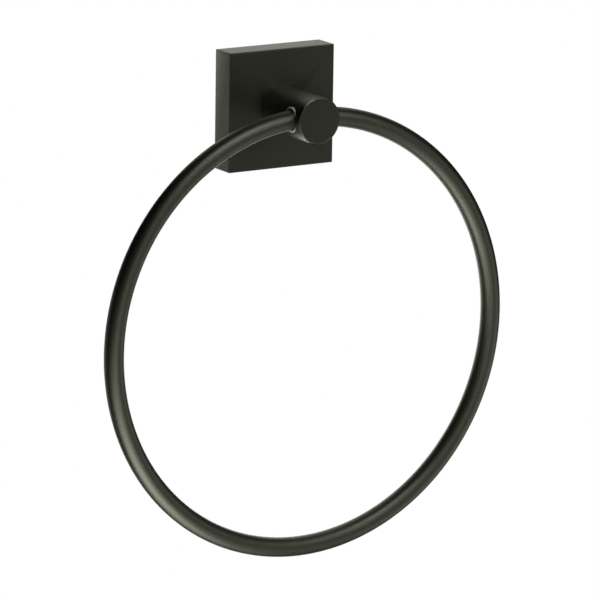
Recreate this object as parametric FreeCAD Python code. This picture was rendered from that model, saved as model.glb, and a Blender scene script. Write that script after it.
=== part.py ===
"""Towel ring on a square wall plate, in millimetres.

+Z is up and the wall is the plane y = 0. The front of the object faces -Y.
The origin is the middle of the plate's back, on the wall.

A round bar ring hangs through a cross hole near the front end of a round post.
A straight bush lines the hole. Its square ends show above and below the bar,
where the round post falls away from them.
The post is held by one screw from inside a hollow square cover plate.
The cover hooks over a pressed bracket on the wall, and a grub screw in its
underside clamps it there.
"""
import math
import os

import FreeCAD
import Part

# Square cover plate
plate_width = 50.0
plate_depth = 11.5
plate_side_wall = 3.0
plate_front_wall = 3.0
plate_front_round = 0.4
plate_corner_round = 0.4
cavity_corner_round = 2.0
boss_diameter = 18.0
boss_height = 2.0

# Post
post_diameter = 19.5
post_length = 30.0
post_rim_chamfer = 0.45
spigot_diameter = 12.0
spigot_length = 1.5
spigot_clearance = 0.05
spigot_end_gap = 0.2

# Ring, and where its bar passes through the post
ring_outer_diameter = 190.0
ring_bar_diameter = 8.2
cross_hole_setback = 8.0
ring_play = 0.07
bush_length = 18.3
bush_wall = 0.85
bush_end_chamfer = 0.25

# Screw and spring washer that hold the post on the plate
post_screw_diameter = 5.0
post_screw_length = 14.0
post_screw_head_diameter = 9.0
post_screw_head_height = 3.0
post_screw_head_chamfer = 0.5
post_screw_socket_width = 3.0
post_screw_socket_depth = 1.8
screw_hole_clearance = 0.25
thread_clearance = 0.05
tapped_hole_spare = 2.0
washer_outer_diameter = 8.8
washer_thickness = 1.2
washer_split = 0.9

# Pressed wall bracket
bracket_width = 30.0
bracket_height = 34.0
bracket_thickness = 1.8
bracket_corner_round = 2.5
bend_inner_radius = 0.8
bend_relief = 0.6
flange_width = 20.0
flange_corner_round = 1.5
flange_front_gap = 1.2
flange_lean = 2.0
wall_slot_spacing = 22.0
wall_slot_width = 4.5
wall_slot_length = 6.5
screw_access_diameter = 11.0

# Hook rib inside the cover, above the bracket
hook_width = 18.0
hook_front = 5.2
hook_back = 2.8
hook_clearance = 0.15

# Grub screw in the underside of the cover
grub_diameter = 4.0
grub_length = 5.8
grub_point_length = 0.9
grub_point_diameter = 2.0
grub_socket_width = 2.0
grub_socket_depth = 2.2
grub_edge_distance = 2.7
grub_boss_diameter = 7.2
grub_boss_height = 1.5
grub_tip_gap = 0.1

# Worked out from the sizes above
plate_half = plate_width / 2
cavity_half = plate_half - plate_side_wall
cavity_depth = plate_depth - plate_front_wall
post_front = plate_depth + post_length
cross_hole_y = -(post_front - cross_hole_setback)
ring_bar_radius = ring_bar_diameter / 2
ring_mean_radius = ring_outer_diameter / 2 - ring_bar_radius
# The bar bends away from a straight line by this much inside the bush.
ring_rise = ring_mean_radius - math.sqrt(ring_mean_radius**2 - (bush_length / 2) ** 2)
ring_centre_z = ring_rise / 2 - ring_mean_radius
bush_bore_radius = ring_bar_radius + ring_rise / 2 + ring_play
bush_outer_radius = bush_bore_radius + bush_wall
seat_depth = cavity_depth - boss_height
flange_reach = cavity_depth - flange_front_gap
grub_setback = flange_reach - grub_edge_distance
bracket_half = bracket_height / 2
bend_outer_radius = bend_inner_radius + bracket_thickness

BACKWARD = FreeCAD.Vector(0, 1, 0)
FORWARD = FreeCAD.Vector(0, -1, 0)
SIDEWAYS = FreeCAD.Vector(1, 0, 0)
UP = FreeCAD.Vector(0, 0, 1)


def rod(diameter, length, start, direction):
    """A plain cylinder that starts at a point and runs along a direction."""
    return Part.makeCylinder(diameter / 2, length, FreeCAD.Vector(*start), direction)


def block(low, high):
    """A box between two corners."""
    size = [high[i] - low[i] for i in range(3)]
    return Part.makeBox(*size, FreeCAD.Vector(*low))


def side_profile(points, width):
    """A prism: an outline of (y, z) points, centred on x = 0."""
    corners = [FreeCAD.Vector(-width / 2, y, z) for y, z in points]
    outline = Part.makePolygon(corners + corners[:1])
    return Part.Face(outline).extrude(SIDEWAYS * width)


def edges_along(shape, direction, low=-math.inf, high=math.inf):
    """Straight edges parallel to a direction whose middle has low <= |z| <= high."""
    found = []
    for edge in shape.Edges:
        if not isinstance(edge.Curve, Part.Line):
            continue
        if abs(abs(edge.Curve.Direction.dot(direction)) - 1) > 1e-6:
            continue
        if low <= abs(edge.CenterOfMass.z) <= high:
            found.append(edge)
    return found


def hex_socket(width, depth, start, direction):
    """A six-sided recess, with the width measured across its flats."""
    corner_radius = width / math.sqrt(3)
    turn = FreeCAD.Placement(FreeCAD.Vector(*start), FreeCAD.Rotation(UP, direction))
    corners = []
    for step in range(6):
        angle = math.radians(60 * step)
        corner = FreeCAD.Vector(math.cos(angle), math.sin(angle), 0) * corner_radius
        corners.append(turn.multVec(corner))
    outline = Part.makePolygon(corners + corners[:1])
    return Part.Face(outline).extrude(direction * depth)


def flange_height(distance):
    """How far a bracket flange's outer face is from the middle, at a distance from the wall."""
    return bracket_half + flange_lean * distance / flange_reach


def make_wall_plate():
    """Hollow square cover, open to the wall, with bosses for its two screws."""
    envelope = block((-plate_half, -plate_depth, -plate_half), (plate_half, 0, plate_half))
    cover = envelope.makeFillet(plate_corner_round, edges_along(envelope, BACKWARD))
    front_edges = [e for e in cover.Edges if abs(e.BoundBox.YMax + plate_depth) < 1e-6]
    cover = cover.makeFillet(plate_front_round, front_edges)

    cavity = block(
        (-cavity_half, -cavity_depth, -cavity_half),
        (cavity_half, plate_side_wall, cavity_half),
    )
    cavity = cavity.makeFillet(cavity_corner_round, edges_along(cavity, BACKWARD))
    cover = cover.cut(cavity)

    centre_boss = rod(boss_diameter, boss_height, (0, -cavity_depth, 0), BACKWARD)
    grub_boss = rod(
        grub_boss_diameter,
        grub_boss_height + plate_side_wall / 2,
        (0, -grub_setback, -cavity_half - plate_side_wall / 2),
        UP,
    )
    # In a shallow cover the boss ends level with the wall.
    grub_boss = grub_boss.common(envelope)
    hook = side_profile(
        [
            (-hook_front, cavity_half + plate_side_wall / 2),
            (-hook_front, flange_height(hook_front) + hook_clearance),
            (-hook_back, flange_height(hook_back) + hook_clearance),
            (-hook_back, cavity_half + plate_side_wall / 2),
        ],
        hook_width,
    )
    cover = cover.fuse([centre_boss, grub_boss, hook])

    spigot_seat = rod(
        spigot_diameter + 2 * spigot_clearance,
        spigot_length + spigot_end_gap,
        (0, -plate_depth, 0),
        BACKWARD,
    )
    screw_hole = rod(
        post_screw_diameter + 2 * screw_hole_clearance,
        plate_depth,
        (0, -plate_depth, 0),
        BACKWARD,
    )
    grub_hole = rod(
        grub_diameter + 2 * thread_clearance,
        plate_side_wall + grub_boss_height,
        (0, -grub_setback, -plate_half),
        UP,
    )
    return cover.cut([spigot_seat, screw_hole, grub_hole]).removeSplitter()


def make_post():
    """Round post with a locating spigot, a tapped hole in its back and a cross hole."""
    body = rod(post_diameter, post_length, (0, -plate_depth, 0), FORWARD)
    rim = [e for e in body.Edges if abs(e.BoundBox.YMax + post_front) < 1e-6]
    body = body.makeChamfer(post_rim_chamfer, rim)
    spigot = rod(spigot_diameter, spigot_length, (0, -plate_depth, 0), BACKWARD)
    body = body.fuse(spigot)

    spigot_end = spigot_length - plate_depth
    screw_end = seat_depth - washer_thickness + post_screw_length
    tapped_hole = rod(
        post_screw_diameter + 2 * thread_clearance,
        screw_end + tapped_hole_spare + spigot_end,
        (0, spigot_end, 0),
        FORWARD,
    )
    cross_hole = rod(
        2 * bush_outer_radius,
        2 * post_diameter,
        (-post_diameter, cross_hole_y, 0),
        SIDEWAYS,
    )
    return body.cut([tapped_hole, cross_hole]).removeSplitter()


def make_ring_bush():
    """Straight liner of the cross hole, cut square at both ends."""
    end = (-bush_length / 2, cross_hole_y, 0)
    liner = rod(2 * bush_outer_radius, bush_length, end, SIDEWAYS)
    liner = liner.cut(rod(2 * bush_bore_radius, bush_length, end, SIDEWAYS))
    end_edges = [e for e in liner.Edges if isinstance(e.Curve, Part.Circle)]
    return liner.makeChamfer(bush_end_chamfer, end_edges)


def make_ring():
    """Round bar bent to a full circle, hanging parallel to the wall."""
    centre = FreeCAD.Vector(0, cross_hole_y, ring_centre_z)
    bar_centre = centre + SIDEWAYS * ring_mean_radius
    # The section is a round spline, so that the turned face needs fewer facets than a torus.
    section = Part.Circle(bar_centre, UP, ring_bar_radius).toBSpline()
    return Part.Face(Part.Wire(section.toShape())).revolve(centre, BACKWARD, 360)


def make_post_screw():
    """Socket-head screw from inside the cover into the post."""
    head_start = -(seat_depth - washer_thickness)
    shank = rod(post_screw_diameter, post_screw_length, (0, head_start, 0), FORWARD)
    head = rod(post_screw_head_diameter, post_screw_head_height, (0, head_start, 0), BACKWARD)
    head_back = head_start + post_screw_head_height
    back_rim = [e for e in head.Edges if abs(e.BoundBox.YMin - head_back) < 1e-6]
    head = head.makeChamfer(post_screw_head_chamfer, back_rim)
    socket = hex_socket(
        post_screw_socket_width, post_screw_socket_depth, (0, head_back, 0), FORWARD
    )
    return shank.fuse(head).cut(socket).removeSplitter()


def make_post_washer():
    """Split spring washer under the screw's head."""
    back = -(seat_depth - washer_thickness)
    ring = rod(washer_outer_diameter, washer_thickness, (0, back, 0), FORWARD)
    hole = rod(
        post_screw_diameter + 2 * screw_hole_clearance,
        washer_thickness,
        (0, back, 0),
        FORWARD,
    )
    split = block(
        (-washer_split / 2, back - washer_thickness, 0),
        (washer_split / 2, back, washer_outer_diameter),
    )
    return ring.cut([hole, split])


def wall_slot(z):
    """An upright slot right through the bracket, for one wall screw."""
    run = (wall_slot_length - wall_slot_width) / 2
    through = 2 * bracket_thickness
    middle = block(
        (-wall_slot_width / 2, -through, z - run), (wall_slot_width / 2, through, z + run)
    )
    ends = [
        rod(wall_slot_width, 2 * through, (0, through, z + end), FORWARD)
        for end in (-run, run)
    ]
    return middle.fuse(ends).removeSplitter()


def make_wall_bracket():
    """Pressed channel on the wall: the cover hooks over its leaning flanges."""
    inner_half = bracket_half - bracket_thickness
    tip = flange_height(flange_reach)
    upper = [
        (0, bracket_half),
        (-flange_reach, tip),
        (-flange_reach, tip - bracket_thickness),
        (-bracket_thickness, inner_half),
    ]
    lower = [(y, -z) for y, z in reversed(upper)]
    channel = side_profile(upper + lower, flange_width)
    channel = channel.makeFillet(flange_corner_round, edges_along(channel, UP, inner_half))
    outer_bends = edges_along(channel, SIDEWAYS, bracket_half - 0.01, bracket_half + 0.01)
    channel = channel.makeFillet(bend_outer_radius, outer_bends)
    inner_bends = edges_along(channel, SIDEWAYS, inner_half - 0.01, inner_half + 0.01)
    channel = channel.makeFillet(bend_inner_radius, inner_bends)

    ear_half = bracket_half - bend_outer_radius - bend_relief
    ears = block(
        (-bracket_width / 2, -bracket_thickness, -ear_half),
        (bracket_width / 2, 0, ear_half),
    )
    ears = ears.makeFillet(bracket_corner_round, edges_along(ears, BACKWARD))
    bracket = channel.fuse(ears)
    access = rod(screw_access_diameter, 4 * bracket_thickness, (0, 1, 0), FORWARD)
    slots = [wall_slot(side * wall_slot_spacing / 2) for side in (-1, 1)]
    return bracket.cut([access, *slots]).removeSplitter()


def make_grub_screw():
    """Headless clamp screw whose cone point bears on the bracket's lower flange."""
    point_front = grub_setback + grub_point_diameter / 2
    tip_z = -(flange_height(point_front) + grub_tip_gap)
    shank = rod(
        grub_diameter,
        grub_length - grub_point_length,
        (0, -grub_setback, tip_z - grub_length),
        UP,
    )
    point = Part.makeCone(
        grub_diameter / 2,
        grub_point_diameter / 2,
        grub_point_length,
        FreeCAD.Vector(0, -grub_setback, tip_z - grub_point_length),
        UP,
    )
    socket = hex_socket(
        grub_socket_width,
        grub_socket_depth,
        (0, -grub_setback, tip_z - grub_length),
        UP,
    )
    return shank.fuse(point).cut(socket).removeSplitter()


def main():
    pieces = {
        "wall_plate": make_wall_plate(),
        "post": make_post(),
        "ring_bush": make_ring_bush(),
        "towel_ring": make_ring(),
        "post_screw": make_post_screw(),
        "post_washer": make_post_washer(),
        "wall_bracket": make_wall_bracket(),
        "grub_screw": make_grub_screw(),
    }
    os.makedirs("parts", exist_ok=True)
    for name, shape in pieces.items():
        solids = shape.Solids
        shape = solids[0] if len(solids) == 1 else Part.makeCompound(solids)
        shape.exportStep(f"parts/{name}.step")
        box = shape.BoundBox
        print(
            f"{name:13s} solids {len(solids)}  valid {shape.isValid()}  "
            f"volume {shape.Volume:9.1f}  "
            f"x {box.XMin:.1f}..{box.XMax:.1f}  y {box.YMin:.1f}..{box.YMax:.1f}  "
            f"z {box.ZMin:.1f}..{box.ZMax:.1f}"
        )


main()
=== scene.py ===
# Satin black towel ring on a square wall plate: its finishes, its studio light and its camera.
# Every length is in metres and every angle in degrees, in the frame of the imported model.
import math

import bmesh
import bpy
import numpy as np
from mathutils import Matrix, Vector


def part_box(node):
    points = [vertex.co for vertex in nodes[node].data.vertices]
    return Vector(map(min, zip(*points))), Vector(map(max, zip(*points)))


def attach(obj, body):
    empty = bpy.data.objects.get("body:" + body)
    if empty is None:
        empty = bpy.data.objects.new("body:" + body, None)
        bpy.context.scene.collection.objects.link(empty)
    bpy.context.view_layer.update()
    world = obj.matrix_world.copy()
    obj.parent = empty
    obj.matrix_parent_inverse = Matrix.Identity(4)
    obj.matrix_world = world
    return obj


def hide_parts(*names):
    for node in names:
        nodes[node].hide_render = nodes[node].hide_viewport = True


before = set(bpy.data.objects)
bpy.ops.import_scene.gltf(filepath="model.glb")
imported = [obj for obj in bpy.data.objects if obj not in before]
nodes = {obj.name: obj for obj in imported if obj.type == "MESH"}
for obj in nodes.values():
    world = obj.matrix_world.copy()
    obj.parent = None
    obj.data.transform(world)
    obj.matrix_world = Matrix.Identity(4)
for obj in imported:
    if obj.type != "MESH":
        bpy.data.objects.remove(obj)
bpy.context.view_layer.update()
scene = bpy.context.scene
print("stage: model loaded,", len(nodes), "nodes")


# Helpers for node materials

def newMaterial(name):
    material = bpy.data.materials.new(name)
    material.use_nodes = True
    tree = material.node_tree
    tree.nodes.clear()
    output = addNode(tree, "ShaderNodeOutputMaterial", (600, 0))
    return material, tree, output


def addNode(tree, kind, place, settings=None, **inputs):
    node = tree.nodes.new(kind)
    node.location = place
    for key, value in (settings or {}).items():
        setattr(node, key, value)
    for key, value in inputs.items():
        node.inputs[key.replace("_", " ")].default_value = value
    return node


def addNoise(tree, vector, place, settings):
    noise = addNode(tree, "ShaderNodeTexNoise", place, **settings)
    tree.links.new(vector, noise.inputs["Vector"])
    return noise.outputs["Fac"]


noiseLow, noiseHigh = 0.3, 0.7   # a noise lies mostly between these


def spreadNoise(tree, noise, place, low, high):
    node = addNode(tree, "ShaderNodeMapRange", place)
    limits = {"From Min": noiseLow, "From Max": noiseHigh, "To Min": low, "To Max": high}
    for key, value in limits.items():
        node.inputs[key].default_value = value
    tree.links.new(noise, node.inputs["Value"])
    return node.outputs["Result"]


def addBump(tree, noise, place, depth):
    bump = addNode(tree, "ShaderNodeBump", place, Distance=depth)
    tree.links.new(noise, bump.inputs["Height"])
    return bump


def addCloudyTone(tree, vector, values):
    # Two near colours, mixed by a slow noise
    tone = addNode(tree, "ShaderNodeMix", (-300, 300), {"data_type": "RGBA"})
    tone.inputs["A"].default_value = values["colour"]
    tone.inputs["B"].default_value = values["paleColour"]
    cloud = addNoise(tree, vector, (-900, 300), values["cloud"])
    tree.links.new(spreadNoise(tree, cloud, (-600, 300), 0.0, 1.0), tone.inputs["Factor"])
    return tone.outputs["Result"]


def joinSurface(tree, surface, output, tone, rough, bump):
    tree.links.new(tone, surface.inputs["Base Color"])
    tree.links.new(rough, surface.inputs["Roughness"])
    tree.links.new(bump.outputs["Normal"], surface.inputs["Normal"])
    tree.links.new(surface.outputs["BSDF"], output.inputs["Surface"])


# Satin black powder coat: the ring bar, and a little smoother on the cast plate and post

powderCoat = {
    "colour": (0.0009, 0.0010, 0.0004, 1.0),
    "paleColour": (0.0013, 0.0014, 0.0006, 1.0),
    "sheen": (0.97, 1.0, 0.82, 1.0),   # tint of what it mirrors face on
    "roughness": (0.42, 0.48),
    "ior": 1.7,
    "cloud": {"Scale": 45.0, "Detail": 3.0},   # colour changes over a few centimetres
    "peel": {"Scale": 900.0, "Detail": 1.0, "Roughness": 0.4},   # waves of about a millimetre
    "peelDepth": 0.000004,
    "grain": {"Scale": 4200.0, "Detail": 2.0, "Roughness": 0.6},   # fine grain of the powder
    "grainDepth": 0.0000004,
}

castCoat = dict(powderCoat, roughness=(0.34, 0.40))

# Moulded nylon: the bush

bushNylon = {
    "colour": (0.41, 0.41, 0.40, 1.0),
    "paleColour": (0.46, 0.46, 0.45, 1.0),
    "sheen": (1.0, 1.0, 1.0, 1.0),
    "roughness": (0.30, 0.38),
    "ior": 1.53,
    "cloud": {"Scale": 200.0, "Detail": 3.0},
    "peel": {"Scale": 1500.0, "Detail": 1.0, "Roughness": 0.4},
    "peelDepth": 0.000004,
    "grain": {"Scale": 6000.0, "Detail": 2.0, "Roughness": 0.6},
    "grainDepth": 0.000002,
}


def makeSatin(name, values):
    material, tree, output = newMaterial(name)
    vector = addNode(tree, "ShaderNodeTexCoord", (-1200, 0)).outputs["Object"]
    tone = addCloudyTone(tree, vector, values)
    grain = addNoise(tree, vector, (-900, 0), values["grain"])
    rough = spreadNoise(tree, grain, (-600, 0), *values["roughness"])
    peel = addNoise(tree, vector, (-900, -300), values["peel"])
    peelBump = addBump(tree, peel, (-300, -300), values["peelDepth"])
    grainBump = addBump(tree, grain, (0, -300), values["grainDepth"])
    tree.links.new(peelBump.outputs["Normal"], grainBump.inputs["Normal"])
    surface = addNode(
        tree, "ShaderNodeBsdfPrincipled", (250, 0), IOR=values["ior"], Specular_Tint=values["sheen"]
    )
    joinSurface(tree, surface, output, tone, rough, grainBump)
    return material


# Bright zinc plate with a rolled grain: the wall bracket, the post screw and its washer

zincPlate = {
    "colour": (0.47, 0.48, 0.49, 1.0),
    "paleColour": (0.62, 0.62, 0.60, 1.0),
    "roughness": (0.22, 0.38),
    "cloud": {"Scale": 160.0, "Detail": 4.0},
    "grain": {"Scale": 1400.0, "Detail": 4.0},
    "grainStretch": (0.06, 1.0, 1.0),   # the grain runs along X
    "grainDepth": 0.000006,
}

# Black oxide with its grain along the screw's own axis, Z: the grub screw

blackOxide = dict(
    zincPlate,
    colour=(0.030, 0.031, 0.034, 1.0),
    paleColour=(0.050, 0.051, 0.054, 1.0),
    roughness=(0.34, 0.46),
    grainStretch=(1.0, 1.0, 0.1),
)


def makePlatedSteel(name, values):
    material, tree, output = newMaterial(name)
    vector = addNode(tree, "ShaderNodeTexCoord", (-1200, 0)).outputs["Object"]
    tone = addCloudyTone(tree, vector, values)
    stretch = addNode(tree, "ShaderNodeMapping", (-1050, -150), Scale=values["grainStretch"])
    tree.links.new(vector, stretch.inputs["Vector"])
    grain = addNoise(tree, stretch.outputs["Vector"], (-850, -150), values["grain"])
    rough = spreadNoise(tree, grain, (-600, -50), *values["roughness"])
    bump = addBump(tree, grain, (-300, -250), values["grainDepth"])
    surface = addNode(tree, "ShaderNodeBsdfPrincipled", (250, 0), Metallic=1.0)
    joinSurface(tree, surface, output, tone, rough, bump)
    return material


plateFinish = makeSatin("plateFinish", castCoat)
postFinish = makeSatin("postFinish", castCoat)
ringFinish = makeSatin("ringFinish", powderCoat)
bushFinish = makeSatin("bushFinish", bushNylon)
zincFinish = makePlatedSteel("zincFinish", zincPlate)
oxideFinish = makePlatedSteel("oxideFinish", blackOxide)
print("stage: finishes made")


# Helpers for pieces

def gridObject(name, points):
    # points is a (rows, columns, 3) array that closes on itself both ways. Neighbours on it
    # become four-sided faces, with their front where a row's step x a column's step points.
    rows, columns = points.shape[:2]
    i, j = np.meshgrid(np.arange(rows), np.arange(columns), indexing="ij")
    nextI, nextJ = (i + 1) % rows, (j + 1) % columns
    corners = [i * columns + j, nextI * columns + j, nextI * columns + nextJ, i * columns + nextJ]
    faces = np.stack(corners, -1).reshape(-1, 4)
    mesh = bpy.data.meshes.new(name)
    mesh.from_pydata(points.reshape(-1, 3).tolist(), [], faces.tolist())
    mesh.shade_smooth()
    mesh.update()
    piece = bpy.data.objects.new(name, mesh)
    scene.collection.objects.link(piece)
    return piece


def mergedCopy(node, name, values):
    # A copy of a node's solid with its corners joined. It is smooth across edges flatter than
    # sharpAngle. Large faces weigh most in the normals, but those of the plate's flat front
    # still lean by up to 8 degrees, which shades a faint X on it.
    mesh = nodes[node].data.copy()
    mesh.name = name
    shell = bmesh.new()
    shell.from_mesh(mesh)
    bmesh.ops.remove_doubles(shell, verts=shell.verts, dist=values["mergeDistance"])
    bmesh.ops.dissolve_degenerate(shell, edges=shell.edges, dist=values["mergeDistance"])
    shell.to_mesh(mesh)
    shell.free()
    mesh.shade_smooth()
    mesh.set_sharp_from_angle(angle=math.radians(values["sharpAngle"]))
    piece = bpy.data.objects.new(name, mesh)
    scene.collection.objects.link(piece)
    flatFirst = piece.modifiers.new("flatFirst", "WEIGHTED_NORMAL")
    flatFirst.weight = values["flatWeight"]
    flatFirst.keep_sharp = True
    return piece


def dress(piece, body, node, finish):
    piece.data.materials.clear()
    piece.data.materials.append(finish)
    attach(piece, body)
    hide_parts(node)


def middleOf(node):
    low, high = (np.array(corner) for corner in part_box(node))
    return (low + high) / 2, high - low


# Ring bar

ringBar = {"diameter": 0.190, "barDiameter": 0.0082, "roundSteps": 360, "barSteps": 64}


def makeRingBar(values):
    # A circle of radius r carried round a larger circle of radius R in the plane of X and Z.
    # The point at (u, v) is the centre + (R + r cos v) * outward(u) + r sin v * forward,
    # where forward is -Y.
    centre, _ = middleOf("towel_ring")
    centre[0] = 0   # the ring hangs evenly on both sides of the post
    r = values["barDiameter"] / 2
    bigR = values["diameter"] / 2 - r
    u, v = np.meshgrid(
        np.linspace(0, 2 * np.pi, values["roundSteps"], endpoint=False),
        np.linspace(0, 2 * np.pi, values["barSteps"], endpoint=False),
        indexing="ij",
    )
    reach = bigR + r * np.cos(v)
    offset = np.stack([reach * np.cos(u), -r * np.sin(v), reach * np.sin(u)], -1)
    return gridObject("ringBar", centre + offset)


dress(makeRingBar(ringBar), "ring", "towel_ring", ringFinish)

# Cover plate and post

castSkin = {"mergeDistance": 1e-7, "sharpAngle": 35, "flatWeight": 100}

coverPlate = mergedCopy("wall_plate", "coverPlate", castSkin)
dress(coverPlate, "wall_fixture", "wall_plate", plateFinish)
postBody = mergedCopy("post", "postBody", castSkin)
dress(postBody, "wall_fixture", "post", postFinish)

# Bush

bushShape = {
    "wall": 0.00085,
    "endRound": 0.00034,
    "shoulder": 0.00102,   # the plain wall starts this far from each end
    "aroundSteps": 128,
    "roundSteps": 8,
}


def makeBush(values):
    # A profile of (radius, reach along the hole) pairs carried round the hole's axis. Both
    # corners of the wall's square end are quarter circles: the point at t is the corner's
    # centre + r * (cos t, sin t), for t from 0 to 90 degrees.
    centre, size = middleOf("ring_bush")
    outer, end = size[2] / 2, size[0] / 2
    bore = outer - values["wall"]
    plain = end - values["shoulder"]
    r = values["endRound"]
    t = np.linspace(0, np.pi / 2, values["roundSteps"])
    outerCorner = np.stack([outer - r + r * np.cos(t), end - r + r * np.sin(t)], -1)
    boreCorner = np.stack([bore + r - r * np.cos(t), end - r + r * np.sin(t)], -1)[::-1]
    mouth = np.concatenate([[(outer, plain)], outerCorner, boreCorner, [(bore, plain)]])
    profile = np.concatenate([mouth, mouth[::-1] * (1, -1)])
    angle = np.linspace(0, 2 * np.pi, values["aroundSteps"], endpoint=False)
    a, k = np.meshgrid(angle, np.arange(len(profile)), indexing="ij")
    radius, reach = profile[k, 0], profile[k, 1]
    offset = np.stack([reach, radius * np.cos(a), radius * np.sin(a)], -1)
    return gridObject("crossHoleBush", centre + offset)


dress(makeBush(bushShape), "wall_fixture", "ring_bush", bushFinish)

# Hidden metal pieces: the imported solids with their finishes

for node, finish in (
    ("wall_bracket", zincFinish),
    ("post_screw", zincFinish),
    ("post_washer", zincFinish),
    ("grub_screw", oxideFinish),
):
    nodes[node].data.materials.clear()
    nodes[node].data.materials.append(finish)
print("stage: pieces made")


# Studio: a pale floor, and a background that is white to the camera and gives no light itself

studio = {
    "floorHeight": -1.05,
    "floorSize": 30.0,
    "floorColour": (0.72, 0.72, 0.72, 1.0),
    "background": (1.0, 1.0, 1.0, 1.0),
    "surroundLight": 0.0,
}


def makeFloor(values):
    # White to the camera, pale paint to the light, and see-through from below
    half, height = values["floorSize"] / 2, values["floorHeight"]
    corners = [(-half, -half), (half, -half), (half, half), (-half, half)]
    mesh = bpy.data.meshes.new("floor")
    mesh.from_pydata([(x, y, height) for x, y in corners], [], [(0, 1, 2, 3)])
    floor = bpy.data.objects.new("floor", mesh)
    scene.collection.objects.link(floor)
    material, tree, output = newMaterial("floorPaint")
    paint = addNode(tree, "ShaderNodeBsdfDiffuse", (0, 0), Color=values["floorColour"])
    white = addNode(tree, "ShaderNodeEmission", (0, -150), Color=values["background"])
    clear = addNode(tree, "ShaderNodeBsdfTransparent", (200, -250))
    path = addNode(tree, "ShaderNodeLightPath", (-200, 300))
    side = addNode(tree, "ShaderNodeNewGeometry", (-200, -300))
    look = addNode(tree, "ShaderNodeMixShader", (200, 0))
    fromBelow = addNode(tree, "ShaderNodeMixShader", (400, 0))
    tree.links.new(path.outputs["Is Camera Ray"], look.inputs["Fac"])
    tree.links.new(paint.outputs["BSDF"], look.inputs[1])
    tree.links.new(white.outputs["Emission"], look.inputs[2])
    tree.links.new(side.outputs["Backfacing"], fromBelow.inputs["Fac"])
    tree.links.new(look.outputs["Shader"], fromBelow.inputs[1])
    tree.links.new(clear.outputs["BSDF"], fromBelow.inputs[2])
    tree.links.new(fromBelow.outputs["Shader"], output.inputs["Surface"])
    mesh.materials.append(material)


def makeSurround(values):
    world = bpy.data.worlds.new("surround")
    scene.world = world
    world.use_nodes = True
    tree = world.node_tree
    tree.nodes.clear()
    output = addNode(tree, "ShaderNodeOutputWorld", (600, 0))
    path = addNode(tree, "ShaderNodeLightPath", (0, 300))
    light = addNode(tree, "ShaderNodeBackground", (200, 0), Strength=values["surroundLight"])
    white = addNode(tree, "ShaderNodeBackground", (200, -150), Color=values["background"])
    look = addNode(tree, "ShaderNodeMixShader", (400, 0))
    tree.links.new(path.outputs["Is Camera Ray"], look.inputs["Fac"])
    tree.links.new(light.outputs["Background"], look.inputs[1])
    tree.links.new(white.outputs["Background"], look.inputs[2])
    tree.links.new(look.outputs["Shader"], output.inputs["Surface"])


makeFloor(studio)
makeSurround(studio)

# Camera at the photograph's viewing angle

view = {
    "azimuth": -31.50,
    "elevation": 13.33,
    "roll": 0.86,
    "distance": 2.03977,
    "target": (-0.00448, -0.0355, -0.07562),
    "focalPixels": 4959.74,
    "imagePixels": 600,
    "sensorMillimetres": 36.0,
    "clip": (0.05, 50),
}


def makeCamera(values):
    a, e, roll = (math.radians(values[k]) for k in ("azimuth", "elevation", "roll"))
    back = Vector((math.sin(a) * math.cos(e), -math.cos(a) * math.cos(e), math.sin(e)))
    right = Vector((math.cos(a), math.sin(a), 0))
    up = back.cross(right)
    across = math.cos(roll) * right + math.sin(roll) * up
    above = -math.sin(roll) * right + math.cos(roll) * up
    data = bpy.data.cameras.new("camera")
    data.sensor_width = values["sensorMillimetres"]
    data.lens = values["focalPixels"] * values["sensorMillimetres"] / values["imagePixels"]
    data.clip_start, data.clip_end = values["clip"]
    camera = bpy.data.objects.new("camera", data)
    place = Vector(values["target"]) + back * values["distance"]
    turn = Matrix((across, above, back)).transposed().to_4x4()
    camera.matrix_world = Matrix.Translation(place) @ turn
    scene.collection.objects.link(camera)
    scene.camera = camera
    return back, across, above


back, across, above = makeCamera(view)

# Soft square lamps that face one point in the middle of the object. Each row gives the lamp's
# direction from it (right, up, towards the camera), its distance, its width and its watts.

lampColour = (0.99, 1.0, 0.93)
lampTarget = Vector((0, -0.03, -0.08))

softLamps = {
    "under": ((-0.16, -0.97, 0.16), 0.42, 0.32, 0.84),
    "lowFront": ((-0.21, -0.84, 0.49), 0.42, 0.32, 1.14),
    "lowRight": ((0.33, -0.68, 0.66), 0.65, 0.49, 1.26),
    "frontRight": ((0.35, 0.0, 0.94), 1.10, 0.40, 0.61),
    "rightHigh": ((0.75, 0.30, 0.59), 1.10, 0.40, 1.21),
    "highRight": ((0.37, 0.62, 0.69), 0.80, 0.30, 1.98),
    "nearRightHigh": ((0.75, 0.50, 0.40), 0.42, 0.20, 0.16),
    "nearRight": ((1.0, 0.0, 0.0), 0.42, 0.20, 0.07),
    "rightLow": ((0.95, -0.25, 0.20), 0.50, 0.20, 0.06),
    "rightBack": ((0.83, -0.48, -0.28), 0.42, 0.32, 0.32),
    "leftBack": ((-0.87, -0.12, -0.48), 0.70, 0.50, 0.45),
    "behind": ((-0.21, -0.08, -0.98), 0.42, 0.46, 1.55),
    "behindTop": ((-0.03, 0.72, -0.70), 0.42, 0.46, 0.58),
}


def makeLamp(name, sides, distance, size, watts):
    right, up, toward = sides
    direction = (right * across + up * above + toward * back).normalized()
    data = bpy.data.lights.new(name, "AREA")
    data.size = size
    data.energy = watts
    data.color = lampColour
    lamp = bpy.data.objects.new(name, data)
    lamp.location = lampTarget + direction * distance
    lamp.rotation_mode = "QUATERNION"
    lamp.rotation_quaternion = direction.to_track_quat("Z", "Y")
    lamp.visible_camera = False
    scene.collection.objects.link(lamp)


for name, row in softLamps.items():
    makeLamp(name, *row)
scene.view_settings.view_transform = "Standard"
print("stage: studio and camera made")

bpy.context.view_layer.update()
